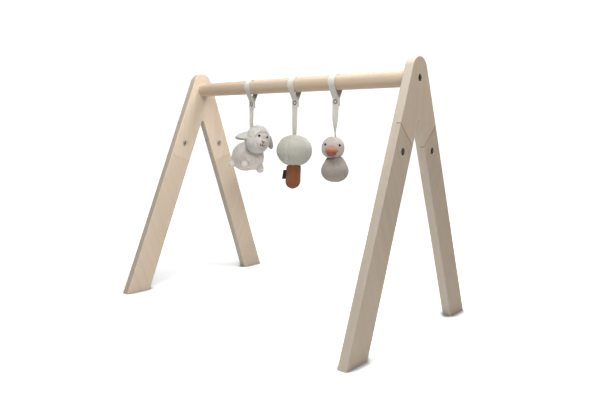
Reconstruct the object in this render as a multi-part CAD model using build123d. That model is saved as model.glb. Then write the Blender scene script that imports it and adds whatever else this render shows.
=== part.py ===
from build123d import *
import os
from math import asin, atan2, cos, hypot, radians, sin, tan

# Activity play gym: two wooden A-frames joined by a round bar, with three soft toys hung from
# the bar on snap ribbons. Millimetres. The origin is on the floor under the middle of the bar;
# +X runs along the bar, -Y is the side that the toys face, +Z is up.

# ---- A-frames --------------------------------------------------------------------------
HEIGHT = 520.0  # floor to the top of the rounded heads
INNER_SPAN = 605.0  # between the inner faces of the two A-frames
BOARD_T = 18.0  # board thickness
BOARD_W = 56.0  # board width
HEAD_R = 27.0  # radius of the rounded head
SPLAY = 20.3  # lean of each leg from the vertical, degrees
CROTCH_R = 4.0  # fillet where the two legs part under the head
EDGE_R = 1.5  # easing of the long board edges

# Half-lap joints between the head board and the legs. Each shoulder is a V across the frame:
# (height where its two lines meet on the centre plane, slope of the lines in degrees).
OUTER_SHOULDER = (332.6, 44.2)  # in the outer half of the thickness
INNER_SHOULDER = (285.1, 20.3)  # in the inner half, square across the legs
SHOULDER_GAP = 0.3  # fitting gap at the end of each lap

# ---- Bar and hardware ------------------------------------------------------------------
BAR_Z = 480.0  # height of the bar's axis
BAR_R = 16.0
LAP_BOLT_Y = 53.8  # leg bolts, in the middle of each lap
LAP_BOLT_Z = 344.8
SHANK_R = 3.0  # M6 bolts
SHANK_HOLE_R = 3.3
BOLT_HEAD_R = 6.6
BOLT_HEAD_T = 3.4
RECESS_R = 7.1  # counterbores for the bolt heads and nut flanges
BOLT_RECESS = 4.6
NUT_RECESS = 3.6
NUT_FLANGE_T = 2.4
NUT_SLEEVE_R = 4.0
NUT_SLEEVE_HOLE_R = 4.2
NUT_SLEEVE_L = 8.0
THREAD_R = 3.05  # bore of the nuts and inserts
HEX_AF = 4.0  # hexagon socket of the bolts
HEX_DEPTH = 2.2
BAR_BOLT_GRIP = 36.0  # how far the bar bolts reach into the bar
INSERT_R = 5.0
INSERT_HOLE_R = 5.05
INSERT_L = 20.0

# ---- Ribbons and snaps -----------------------------------------------------------------
RIBBON_W = 16.0
RIBBON_T = 1.2
BAR_CLEARANCE = 0.3  # between the bar and the ribbon looped over it
SNAP_Z = 441.0  # height of the snap's axis
SNAP_R = 5.25  # outside of the ring and of the press stud
RING_BORE_R = 3.0
RING_T = 0.8
RING_NECK_R = 3.4
RIBBON_HOLE_R = 3.7
STUD_POST_R = 1.9
SOCKET_BORE_R = 1.95
SNAP_SLACK = 0.05  # between the snap halves and the ribbon that turns in them
FREE_END_Y = 4.0  # mid-plane of the ribbon's free end, behind the hanging part
TAIL_L = 8.0  # free end below the snap
FLEX_R = 9.0  # rounded end of the loop, round the snap's axis
FLEX_GAP = 1.2  # room for the hanging ribbon to swing and tilt under it
TWIST_GAP = 0.4
TWIST_ABOVE = 6.0  # how far above a toy its ribbon starts to turn with it
SEWN_IN = 6.0  # ribbon held inside the toy's seam

# ---- Toys ------------------------------------------------------------------------------
COVER_T = 1.2  # fabric thickness
FILL_GAP = 0.2  # between a cover and its stuffing
SEAM_GAP = 0.2
SEAM_FLAT_R = 9.0  # small flat at the top seam, where the ribbon goes in

SHEEP_X = -124.0  # place of each toy along the bar
TREE_X = 12.5
DUCK_X = 125.0
SHEEP_HEADING = 70.0  # facing direction, degrees from -Y towards +X
DUCK_HEADING = 31.0
LABEL_HEADING = -47.0

SHEEP_BODY = dict(forward=-18.0, z=321.0, half_l=50.0, r=34.5)
SHEEP_HEAD = dict(forward=39.0, z=359.5, half_h=32.5, r=28.5)
SHEEP_FACE_R = 19.5  # smooth face panel set into the woolly hood
SHEEP_FACE_Z = -3.0  # below the middle of the head
SHEEP_FACE_TURN = 3.0  # the panel looks slightly to the sheep's left
SHEEP_EAR = dict(length=34.0, width=20.0, thick=6.0)
SHEEP_LEG = dict(r=9.5, length=20.0)
SHEEP_LEGS = {
    # node: (forward, sideways to the sheep's left, foot height, lean forward, lean outward)
    "sheep_leg_front_left": (8.0, 18.0, 283.0, 10.0, 6.0),
    "sheep_leg_front_right": (8.0, -20.0, 289.0, 38.0, -16.0),
    "sheep_leg_hind_left": (-44.0, 20.0, 288.0, -12.0, 14.0),
    "sheep_leg_hind_right": (-44.0, -22.0, 288.0, -12.0, -14.0),
}
EYE_R = 1.9
EYE_T = 1.4

CROWN = dict(z=336.0, r=39.5, half_h=33.5)
TRUNK_R = 17.0
TRUNK_TOP = 306.0
TRUNK_BOTTOM = 253.0
LABEL = dict(out=8.0, height=20.0, thick=0.8, z=284.0)

DUCK_HEAD = dict(forward=3.0, z=345.4, half_h=24.8, r=24.0)
DUCK_NECK_Z = 322.0
DUCK_NECK_R = 16.0
DUCK_BODY = dict(z=297.0, r=28.5, bottom=274.8)
BEAK = dict(z=338.0, reach=36.0, half_w=14.0, upper_t=11.5, lower_t=8.0)

HALF_SPAN = INNER_SPAN / 2
HEAD_Z = HEIGHT - HEAD_R
LOOP_R = BAR_R + BAR_CLEARANCE + RIBBON_T / 2


def across(x, y, z):
    """A plane at a point, facing +X, with its own x along Y and its own y along Z."""
    return Plane(origin=(x, y, z), x_dir=(0, 1, 0), z_dir=(1, 0, 0))


def rod(x0, x1, r, y=0.0, z=0.0):
    """A round bar along X from x0 to x1."""
    start = min(x0, x1)
    return extrude(across(start, y, z) * Circle(r), abs(x1 - x0))


def pin_y(y0, y1, r, x, z):
    """A round pin along Y from y0 to y1."""
    face = Plane(origin=(x, y0, z), x_dir=(1, 0, 0), z_dir=(0, 1, 0)) * Circle(r)
    return extrude(face, y1 - y0)


def write(name, shape):
    """Write one node. A node of several pieces is a compound of separate solids."""
    solids = shape.solids()
    node = solids[0] if len(solids) == 1 else Compound(children=list(solids))
    node.label = name
    export_step(node, f"parts/{name}.step")


# ---- Boards ----------------------------------------------------------------------------
def frame_outline():
    """The whole A in its own plane: two straight legs and a round head, in Y and Z."""
    lean = radians(SPLAY)
    outline = Pos(0, HEAD_Z) * Circle(HEAD_R)
    foot_s = (HEAD_Z + BOARD_W) / cos(lean)
    for side in (-1, 1):
        normal = Vector(side * cos(lean), sin(lean))
        along = Vector(side * sin(lean), -cos(lean))
        head = Vector(0, HEAD_Z)
        corners = [
            head + normal * HEAD_R,
            head + normal * HEAD_R + along * foot_s,
            head + normal * (HEAD_R - BOARD_W) + along * foot_s,
            head + normal * (HEAD_R - BOARD_W),
        ]
        outline += make_face(Polyline(*corners, close=True))
    above_floor = Pos(0, HEIGHT) * Rectangle(4 * HEIGHT, 2 * HEIGHT)
    outline = Sketch() + (outline & above_floor)
    crotch_z = HEAD_Z - (BOARD_W - HEAD_R) / sin(lean)
    crotch = outline.vertices().sort_by_distance(Vector(0, crotch_z, 0))[0]
    return fillet(crotch, CROTCH_R)


def above_shoulder(shoulder, drop=0.0):
    """The region over a V-shaped shoulder, in Y and Z."""
    meet_z, slope = shoulder
    meet_z -= drop
    rise = HEIGHT * tan(radians(slope))
    corners = [(0, meet_z), (HEIGHT, meet_z + rise), (HEIGHT, 3 * HEIGHT), (-HEIGHT, 3 * HEIGHT)]
    corners.append((-HEIGHT, meet_z + rise))
    return make_face(Polyline(*corners, close=True))


def slab(face, x_in, x_out):
    """A face in Y and Z, given thickness from x_in to x_out."""
    start = min(x_in, x_out)
    return extrude(across(start, 0, 0) * face, abs(x_out - x_in))


def a_frame(side):
    """The head board and two legs of one A-frame, with their lap joints and bolt holes."""
    x_in = side * HALF_SPAN
    x_mid = side * (HALF_SPAN + BOARD_T / 2)
    x_out = side * (HALF_SPAN + BOARD_T)
    board = slab(frame_outline(), x_in, x_out)
    flat_faces = board.faces().filter_by(Axis.X)
    rim = ShapeList(e for f in flat_faces for e in f.edges() if e.center().Z > 1)
    board = fillet(rim, EDGE_R)

    for y in (-LAP_BOLT_Y, LAP_BOLT_Y):
        board -= rod(x_out, x_out - side * BOLT_RECESS, RECESS_R, y, LAP_BOLT_Z)
        board -= rod(x_in, x_in + side * NUT_RECESS, RECESS_R, y, LAP_BOLT_Z)
        board -= rod(x_in, x_in + side * (NUT_RECESS + NUT_SLEEVE_L), NUT_SLEEVE_HOLE_R, y, LAP_BOLT_Z)
        board -= rod(x_in, x_out, SHANK_HOLE_R, y, LAP_BOLT_Z)
    board -= rod(x_out, x_out - side * BOLT_RECESS, RECESS_R, 0, BAR_Z)
    board -= rod(x_in, x_out, SHANK_HOLE_R, 0, BAR_Z)

    outer_head = slab(above_shoulder(OUTER_SHOULDER), x_mid, x_out)
    inner_head = slab(above_shoulder(INNER_SHOULDER), x_in, x_mid)
    outer_cut = slab(above_shoulder(OUTER_SHOULDER, SHOULDER_GAP), x_mid, x_out + side)
    inner_cut = slab(above_shoulder(INNER_SHOULDER, SHOULDER_GAP), x_in - side, x_mid)
    head = board & (outer_head + inner_head)
    legs = board - outer_cut - inner_cut
    front, back = legs.solids().sort_by(Axis.Y)
    return head, front, back


# ---- Hardware --------------------------------------------------------------------------
def bolt(side, y, z, length):
    """A socket-head bolt, its head at the bottom of the recess in the outer face."""
    seat = side * (HALF_SPAN + BOARD_T - BOLT_RECESS)
    top = seat + side * BOLT_HEAD_T
    body = rod(seat, top, BOLT_HEAD_R, y, z)
    body = fillet(body.faces().filter_by(Axis.X).sort_by(Axis.X)[-1 if side > 0 else 0].edges(), 0.8)
    body += rod(seat, seat - side * length, SHANK_R, y, z)
    hexagon = RegularPolygon(HEX_AF / 2, 6, major_radius=False)
    socket = extrude(across(min(top, top - side * HEX_DEPTH), y, z) * hexagon, HEX_DEPTH)
    return body - socket


def sleeve_nut(side, y, z):
    """A flanged sleeve nut let into the inner face."""
    face = side * (HALF_SPAN + NUT_RECESS)
    nut = rod(face, face - side * NUT_FLANGE_T, BOLT_HEAD_R, y, z)
    nut += rod(face, face + side * NUT_SLEEVE_L, NUT_SLEEVE_R, y, z)
    return nut - rod(face - side * NUT_FLANGE_T, face + side * NUT_SLEEVE_L, THREAD_R, y, z)


def bar_insert(side):
    """A threaded insert in the end of the bar."""
    end = side * HALF_SPAN
    tube = rod(end, end - side * INSERT_L, INSERT_R, 0, BAR_Z)
    return tube - rod(end, end - side * INSERT_L, THREAD_R, 0, BAR_Z)


def crossbar():
    bar = rod(-HALF_SPAN, HALF_SPAN, BAR_R, 0, BAR_Z)
    for side in (-1, 1):
        end = side * HALF_SPAN
        bar -= rod(end, end - side * INSERT_L, INSERT_HOLE_R, 0, BAR_Z)
        bar -= rod(end, end - side * (BAR_BOLT_GRIP + 4), SHANK_HOLE_R, 0, BAR_Z)
    return bar


# ---- Ribbons and snaps -----------------------------------------------------------------
def ribbon_loop(x):
    """The ribbon over the bar: front strand, wrap, back strand and free end."""
    bend_z = SNAP_Z + SNAP_R + 0.5
    drop = BAR_Z - bend_z
    front_turn = asin(LOOP_R / drop)
    back_reach = hypot(FREE_END_Y, drop)
    back_turn = asin(LOOP_R / back_reach) + atan2(FREE_END_Y, drop)
    front_touch = Vector(-LOOP_R * cos(front_turn), BAR_Z - LOOP_R * sin(front_turn))
    back_touch = Vector(LOOP_R * cos(back_turn), BAR_Z - LOOP_R * sin(back_turn))
    top = Vector(0, BAR_Z + LOOP_R)
    path = Polyline((0, SNAP_Z - FLEX_R), (0, bend_z), front_touch)
    path += ThreePointArc(front_touch, top, back_touch)
    path += Polyline(back_touch, (FREE_END_Y, bend_z), (FREE_END_Y, SNAP_Z - TAIL_L))
    profile = Sketch() + trace(path, line_width=RIBBON_T)
    loop = extrude(across(x - RIBBON_W / 2, 0, 0) * profile, RIBBON_W)
    below = Pos(x, 0, SNAP_Z - FLEX_R) * Box(2 * RIBBON_W, 1.5 * RIBBON_T, 2 * FLEX_R)
    loop -= below - pin_y(-RIBBON_T, RIBBON_T, FLEX_R, x, SNAP_Z)
    return loop - pin_y(-RIBBON_T, FREE_END_Y + RIBBON_T, RIBBON_HOLE_R, x, SNAP_Z)


def ribbon_drop(x, low):
    """The flat hanging ribbon from just under the snap to just above the toy."""
    high = SNAP_Z - 2
    band = Pos(x, 0, (high + low) / 2) * Box(RIBBON_W, RIBBON_T, high - low)
    return band - pin_y(-RIBBON_T, RIBBON_T, FLEX_R + FLEX_GAP, x, SNAP_Z)


def ribbon_stub(x, high, low, turn=0.0):
    """The end of the ribbon that is sewn into the toy."""
    return Pos(x, 0, (high + low) / 2) * Rot(0, 0, turn) * Box(RIBBON_W, RIBBON_T, high - low)


def snap_pieces(x):
    """The four pieces of a ring snap: ring and stud in front, socket and ring behind."""
    front = -RIBBON_T / 2 - SNAP_SLACK
    back = RIBBON_T / 2 + SNAP_SLACK
    socket_back = FREE_END_Y - RIBBON_T / 2
    ring = pin_y(front - RING_T, front, SNAP_R, x, SNAP_Z)
    ring = fillet(ring.edges().sort_by(Axis.Y)[0], 0.5)
    ring += pin_y(front, back, RING_NECK_R, x, SNAP_Z)
    ring -= pin_y(front - RING_T, back, RING_BORE_R, x, SNAP_Z)
    stud = pin_y(back, back + RING_T, SNAP_R, x, SNAP_Z)
    stud += pin_y(back + RING_T, socket_back - 0.1, STUD_POST_R, x, SNAP_Z)
    socket = pin_y(back + RING_T + SNAP_SLACK, socket_back, SNAP_R, x, SNAP_Z)
    socket -= pin_y(back, socket_back, SOCKET_BORE_R, x, SNAP_Z)
    rear = pin_y(FREE_END_Y + RIBBON_T / 2, FREE_END_Y + RIBBON_T / 2 + RING_T, SNAP_R, x, SNAP_Z)
    rear += pin_y(socket_back, FREE_END_Y + RIBBON_T / 2, RING_NECK_R, x, SNAP_Z)
    rear -= pin_y(socket_back, FREE_END_Y + RIBBON_T / 2 + RING_T, RING_BORE_R, x, SNAP_Z)
    return {"snap_ring": ring, "snap_stud": stud, "snap_socket": socket, "snap_rear_ring": rear}


def hang(toy, x, toy_top, turn=0.0):
    """Write the ribbon and snap of one toy, and return the end that its seam holds."""
    twist_z = toy_top + TWIST_ABOVE
    stub = ribbon_stub(x, twist_z - TWIST_GAP / 2, toy_top - SEWN_IN, turn)
    write(f"{toy}_ribbon_loop", ribbon_loop(x))
    write(f"{toy}_ribbon_drop", ribbon_drop(x, twist_z + TWIST_GAP / 2))
    write(f"{toy}_ribbon_end", stub)
    for name, piece in snap_pieces(x).items():
        write(f"{toy}_{name}", piece)
    return stub


# ---- Toys ------------------------------------------------------------------------------
def spheroid(r, half, inset=0.0, flat_r=0.0):
    """A solid ellipsoid of revolution about Z. A flat of radius flat_r closes each end."""
    flat_z = (half - inset) * (1 - (flat_r / (r - inset)) ** 2) ** 0.5
    half_plane = Pos(r, 0) * Rectangle(2 * r, 2 * flat_z)
    profile = Ellipse(r - inset, half - inset) & half_plane
    return revolve(Plane.XZ * profile, Axis.Z)


def capsule(r, half, inset=0.0):
    """A round-ended solid about Z, radius r and half height half."""
    stem = half - r
    r -= inset
    outline = Polyline((r, -stem), (r, stem)) + Polyline((0, stem + r), (0, -stem - r))
    outline += CenterArc((0, stem), r, 0, 90) + CenterArc((0, -stem), r, 270, 90)
    return revolve(Plane.XZ * make_face(outline), Axis.Z)


def heading_place(x, heading, forward=0.0, left=0.0, z=0.0):
    """A place in a toy's own frame: its x is forward, its y is to the toy's left."""
    return Pos(x, 0, 0) * Rot(0, 0, heading - 90) * Pos(forward, left, z)


def stuffed(shape, cuts=()):
    """Split a closed form, made by shape(inset), into its cover and its stuffing."""
    cover = shape(0) - shape(COVER_T)
    fill = shape(COVER_T + FILL_GAP)
    for cut in cuts:
        cover -= cut
        fill -= cut
    return cover, fill


def sheep():
    body = SHEEP_BODY
    head = SHEEP_HEAD

    def body_form(inset):
        place = heading_place(SHEEP_X, SHEEP_HEADING, body["forward"], 0, body["z"])
        return place * Rot(0, 90, 0) * capsule(body["r"], body["half_l"], inset)

    def head_form(inset):
        place = heading_place(SHEEP_X, SHEEP_HEADING, head["forward"], 0, head["z"])
        return place * capsule(head["r"], head["half_h"], inset)

    seam_top = body["z"] + body["r"]
    stub = hang("sheep", SHEEP_X, seam_top)
    head_seat = head_form(-SEAM_GAP)
    body_cover, body_fill = stuffed(body_form, [head_seat, stub])
    head_cover, head_fill = stuffed(head_form, [stub])
    write("sheep_body_cover", body_cover)
    write("sheep_body_stuffing", body_fill)

    centre = heading_place(SHEEP_X, SHEEP_HEADING, head["forward"], 0, head["z"] + SHEEP_FACE_Z)
    looks = Vector(1, 0, 0).rotate(Axis.Z, SHEEP_HEADING + SHEEP_FACE_TURN - 90)
    face_plane = Plane(origin=centre.position, z_dir=looks, x_dir=(0, 0, 1))
    beam = extrude(face_plane * Circle(SHEEP_FACE_R), 2 * head["r"])
    write("sheep_face", (head_form(-1.0) - head_form(-0.05)) & beam)
    write("sheep_head_cover", head_cover)
    write("sheep_head_stuffing", head_fill)

    def on_face(across_mm, up_mm, r, reach):
        """A small round boss that stands on the face panel, reach long."""
        spot = face_plane * Pos(up_mm, across_mm, 0)
        core = extrude(Plane(spot) * Circle(r), 2 * head["r"])
        return (head_form(-1.0 - reach) - head_form(-1.0)) & core

    eyes = on_face(-11.0, 9.0, EYE_R, EYE_T) + on_face(9.0, 9.0, EYE_R, EYE_T)
    write("sheep_eyes", eyes)
    stitch = Rectangle(8.0, 1.2) + Pos(-3.0, 0) * Rectangle(1.2, 7.0)
    mouth = extrude(face_plane * Pos(-6.0, 0, 0) * stitch, 2 * head["r"])
    write("sheep_nose_stitch", (head_form(-1.8) - head_form(-1.0)) & mouth)

    ear = SHEEP_EAR
    for name, turn in (("sheep_ear_right", 85.0), ("sheep_ear_left", -130.0)):
        leaf = spheroid(ear["width"] / 2, ear["length"] / 2)
        leaf &= Box(ear["thick"], ear["width"], ear["length"])
        root = heading_place(SHEEP_X, SHEEP_HEADING, head["forward"] - 6, 0, head["z"] + 6)
        leaf = root * Rot(turn, 0, 0) * Pos(0, 0, head["r"] + ear["length"] / 2 - 7) * leaf
        write(name, leaf - head_form(-SEAM_GAP) - body_form(-SEAM_GAP))

    leg = SHEEP_LEG
    for name, (forward, left, foot_z, lean_f, lean_out) in SHEEP_LEGS.items():
        foot = heading_place(SHEEP_X, SHEEP_HEADING, forward, left, foot_z + leg["r"])
        limb = Sphere(leg["r"]) + Pos(0, 0, leg["length"] / 2) * Cylinder(leg["r"], leg["length"])
        limb = foot * Rot(-lean_out, -lean_f, 0) * limb
        write(name, limb - body_form(-SEAM_GAP) - head_form(-SEAM_GAP))


def tree():
    def crown_form(inset):
        return Pos(TREE_X, 0, CROWN["z"]) * spheroid(CROWN["r"], CROWN["half_h"], inset, SEAM_FLAT_R)

    def trunk_form(inset):
        r = TRUNK_R - inset
        low = TRUNK_BOTTOM + inset + r
        top = TRUNK_TOP - inset
        outline = Polyline((r, low), (r, top), (0, top), (0, low - r))
        outline += CenterArc((0, low), r, 270, 90)
        return Pos(TREE_X, 0, 0) * revolve(Plane.XZ * make_face(outline), Axis.Z)

    stub = hang("tree", TREE_X, CROWN["z"] + CROWN["half_h"])
    crown_cover, crown_fill = stuffed(crown_form, [stub])
    write("tree_crown_cover", crown_cover)
    write("tree_crown_stuffing", crown_fill)
    crown_seat = crown_form(-SEAM_GAP)
    trunk_cover, trunk_fill = stuffed(trunk_form, [crown_seat])
    write("tree_trunk_cover", trunk_cover)
    write("tree_trunk_stuffing", trunk_fill)
    label = LABEL
    tab = Box(label["out"], label["thick"], label["height"])
    place = heading_place(TREE_X, LABEL_HEADING, TRUNK_R + label["out"] / 2 - 1, 0, label["z"])
    write("tree_label", place * tab - trunk_form(-0.05))


def duck():
    head = DUCK_HEAD
    body = DUCK_BODY

    def head_form(inset):
        place = heading_place(DUCK_X, DUCK_HEADING, head["forward"], 0, head["z"])
        return place * spheroid(head["r"], head["half_h"], inset, SEAM_FLAT_R)

    def body_form(inset):
        """A pear: a round belly drawn in to a neck under the head."""
        belly = body["r"] - inset
        low = body["bottom"] + inset
        neck = DUCK_NECK_R - inset
        base = Spline((0, low), (belly, body["z"]), tangents=[(1, 0), (0, 1)])
        side = Spline((belly, body["z"]), (neck, DUCK_NECK_Z), tangents=[(0, 1), (-0.35, 1)])
        rim = Polyline((neck, DUCK_NECK_Z), (neck, DUCK_NECK_Z + 6), (0, DUCK_NECK_Z + 6), (0, low))
        profile = make_face(base + side + rim)
        return Pos(DUCK_X, 0, 0) * revolve(Plane.XZ * profile, Axis.Z)

    stub = hang("duck", DUCK_X, head["z"] + head["half_h"] - 0.3)
    head_cover, head_fill = stuffed(head_form, [stub])
    body_cover, body_fill = stuffed(body_form, [head_form(-SEAM_GAP)])
    write("duck_head_cover", head_cover)
    write("duck_head_stuffing", head_fill)
    write("duck_body_cover", body_cover)
    write("duck_body_stuffing", body_fill)

    beak = BEAK
    flat = Rot(0, 90, 0) * spheroid(beak["half_w"], beak["reach"])
    bill = heading_place(DUCK_X, DUCK_HEADING, 0, 0, beak["z"]) * flat
    upper_zone = Pos(DUCK_X, 0, beak["z"] + beak["upper_t"] / 2 + 0.1) * Box(120, 120, beak["upper_t"])
    lower_zone = Pos(DUCK_X, 0, beak["z"] - beak["lower_t"] / 2 - 0.1) * Box(120, 120, beak["lower_t"])
    forward_zone = heading_place(DUCK_X, DUCK_HEADING, 60, 0, beak["z"]) * Box(120, 120, 60)
    bill = (bill & forward_zone) - head_form(-SEAM_GAP) - body_form(-SEAM_GAP)
    write("duck_beak_upper", bill & upper_zone)
    write("duck_beak_lower", bill & lower_zone)

    eyes = []
    for turn in (-38.0, 38.0):
        spot = heading_place(DUCK_X, DUCK_HEADING, head["forward"], 0, head["z"] + 7)
        core = spot * Rot(0, 0, turn) * Rot(0, 90, 0) * Pos(0, 0, head["r"]) * Cylinder(EYE_R, 20)
        eyes.append((head_form(-EYE_T) - head_form(0)) & core)
    write("duck_eyes", Compound(children=[s for eye in eyes for s in eye.solids()]))


def main():
    os.makedirs("parts", exist_ok=True)
    bolts = []
    nuts = []
    for name, side in (("left", -1), ("right", 1)):
        head, front, back = a_frame(side)
        write(f"head_board_{name}", head)
        write(f"leg_front_{name}", front)
        write(f"leg_back_{name}", back)
        for y in (-LAP_BOLT_Y, LAP_BOLT_Y):
            bolts.append(bolt(side, y, LAP_BOLT_Z, BOARD_T - BOLT_RECESS - NUT_RECESS + NUT_FLANGE_T))
            nuts.append(sleeve_nut(side, y, LAP_BOLT_Z))
    write("crossbar", crossbar())
    write("leg_bolts", Compound(children=bolts))
    write("leg_nuts", Compound(children=nuts))
    bar_reach = BOARD_T - BOLT_RECESS + BAR_BOLT_GRIP
    write("bar_bolts", Compound(children=[bolt(s, 0, BAR_Z, bar_reach) for s in (-1, 1)]))
    write("bar_inserts", Compound(children=[bar_insert(s) for s in (-1, 1)]))
    sheep()
    tree()
    duck()


main()
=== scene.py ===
"""Activity play gym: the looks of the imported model. Blender 4.5, metres, in the model's own frame:
+X along the bar, -Y the side that the toys face, +Z up, the floor at z = 0."""
import math

import bmesh
import bpy
import numpy as np
from mathutils import Matrix, Vector
from mathutils.bvhtree import BVHTree


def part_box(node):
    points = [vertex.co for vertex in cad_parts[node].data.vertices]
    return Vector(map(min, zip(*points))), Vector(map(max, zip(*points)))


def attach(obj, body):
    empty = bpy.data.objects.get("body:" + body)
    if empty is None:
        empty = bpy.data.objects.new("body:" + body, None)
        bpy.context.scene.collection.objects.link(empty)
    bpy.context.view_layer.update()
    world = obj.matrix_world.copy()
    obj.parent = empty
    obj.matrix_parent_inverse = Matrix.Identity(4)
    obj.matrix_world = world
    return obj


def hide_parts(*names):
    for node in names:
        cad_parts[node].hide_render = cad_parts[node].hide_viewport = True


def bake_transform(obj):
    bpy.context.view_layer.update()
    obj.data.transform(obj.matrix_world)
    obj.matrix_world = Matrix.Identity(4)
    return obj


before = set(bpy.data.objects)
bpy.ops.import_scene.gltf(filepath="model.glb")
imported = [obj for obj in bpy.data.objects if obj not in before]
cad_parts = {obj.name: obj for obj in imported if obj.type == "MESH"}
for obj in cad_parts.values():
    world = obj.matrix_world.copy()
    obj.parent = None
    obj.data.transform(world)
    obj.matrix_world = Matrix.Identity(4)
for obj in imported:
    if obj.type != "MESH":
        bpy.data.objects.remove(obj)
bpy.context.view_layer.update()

MM = 0.001
scene = bpy.context.scene
TOYS = ("sheep", "tree", "duck")


def centre(node):
    low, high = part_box(node)
    return (low + high) / 2


def half_size(node):
    low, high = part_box(node)
    return (high - low) / 2


# ---- Camera, floor and light -----------------------------------------------------------
CAMERA_AT = (0.8225, -0.8956, 0.3728)
CAMERA_HEADING = 39.19  # degrees from +Y towards -X
CAMERA_DIP = 2.23  # below the level
CAMERA_ROLL = 1.04
LIGHTS = (  # name, place, watts
    ("key_right", (1.2, -1.1, 1.25), 11.4),
    ("over_front", (0.1, -0.45, 1.25), 6.6),
    ("over_back", (0.1, 0.2, 1.25), 5.0),
    ("over_right", (0.6, 0.2, 1.25), 4.8),
)
LIGHT_SIZE = 0.5
LIGHT_AIM = (0.0, 0.0, 0.3)
SURROUND = 0.03
FLOOR_REACH = 30.0
FLOOR_GLOW = 0.04  # light that the floor gives out
FLOOR_LIFT = 0.38  # more of it for the eye alone, so that the floor is plain white
CONTACT_REACH = 0.022  # how far the painted contact shadow under a foot spreads
CONTACT_SHADE = 0.25
PLAIN_WHITE = 1.1  # bright enough to show as pure white


def add_camera():
    camera = bpy.data.objects.new("camera", bpy.data.cameras.new("camera"))
    scene.collection.objects.link(camera)
    camera.location = CAMERA_AT
    turn = Matrix.Rotation(math.radians(CAMERA_HEADING), 3, "Z")
    tip = Matrix.Rotation(math.radians(90 - CAMERA_DIP), 3, "X")
    roll = Matrix.Rotation(math.radians(CAMERA_ROLL), 3, "Z")
    camera.rotation_euler = (turn @ tip @ roll).to_euler()
    camera.data.sensor_width = 36.0
    camera.data.lens = 33.0
    camera.data.shift_x = -0.0371
    camera.data.shift_y = -0.0859
    camera.data.clip_start = 0.05
    scene.camera = camera


def add_lights():
    for name, place, power in LIGHTS:
        data = bpy.data.lights.new(name, "AREA")
        data.shape = "DISK"
        data.size = LIGHT_SIZE
        data.energy = power
        light = bpy.data.objects.new(name, data)
        light.location = place
        light.rotation_euler = (Vector(LIGHT_AIM) - Vector(place)).to_track_quat("-Z", "Y").to_euler()
        scene.collection.objects.link(light)


def floor_white():
    """Matt white, with painted contact shadow close round whatever stands on it, and pure white far off."""
    look = Look("floor_white")
    # painted contact shadow: occlusion darkens the floor's colour and its glow
    contact = look.node("AmbientOcclusion", Distance=CONTACT_REACH)
    shade = look.ramp(contact.outputs["AO"], 0.5, 0.97, CONTACT_SHADE, 1.0)
    look.set(Base_Color=look.times(shade, 0.93), Roughness=0.9, Specular_IOR_Level=0.1)
    look.set(Emission_Color=(1, 1, 1))
    away = look.node("VectorMath")
    away.operation = "LENGTH"
    look.feed(look.stretched((1, 1, 1)), away.inputs[0])
    far = look.ramp(away.outputs["Value"], 0.25, 0.9, FLOOR_LIFT, PLAIN_WHITE)
    eye = look.node("LightPath").outputs["Is Camera Ray"]
    glow = look.maths("ADD", look.times(eye, far), FLOOR_GLOW)
    look.set(Emission_Strength=look.times(glow, shade))
    return look.material


def add_floor():
    """A plain floor that runs out of sight."""
    mesh = bpy.data.meshes.new("floor")
    corners = [(x * FLOOR_REACH, y * FLOOR_REACH, 0) for x, y in ((-1, -1), (1, -1), (1, 1), (-1, 1))]
    mesh.from_pydata(corners, [], [(0, 1, 2, 3)])
    floor = bpy.data.objects.new("floor", mesh)
    scene.collection.objects.link(floor)
    mesh.materials.append(floor_white())


def add_surround():
    """Pure white to look at, and a faint light from all sides."""
    world = bpy.data.worlds.new("surround")
    scene.world = world
    world.use_nodes = True
    tree = world.node_tree
    background = tree.nodes["Background"]
    background.inputs["Color"].default_value = (0.97, 0.985, 1.0, 1)
    background.inputs["Strength"].default_value = SURROUND
    seen = tree.nodes.new("ShaderNodeBackground")
    seen.inputs["Color"].default_value = (1, 1, 1, 1)
    seen.inputs["Strength"].default_value = PLAIN_WHITE
    path = tree.nodes.new("ShaderNodeLightPath")
    mix = tree.nodes.new("ShaderNodeMixShader")
    tree.links.new(path.outputs["Is Camera Ray"], mix.inputs["Fac"])
    tree.links.new(background.outputs[0], mix.inputs[1])
    tree.links.new(seen.outputs[0], mix.inputs[2])
    tree.links.new(mix.outputs[0], tree.nodes["World Output"].inputs["Surface"])
    scene.view_settings.view_transform = "Standard"


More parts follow.
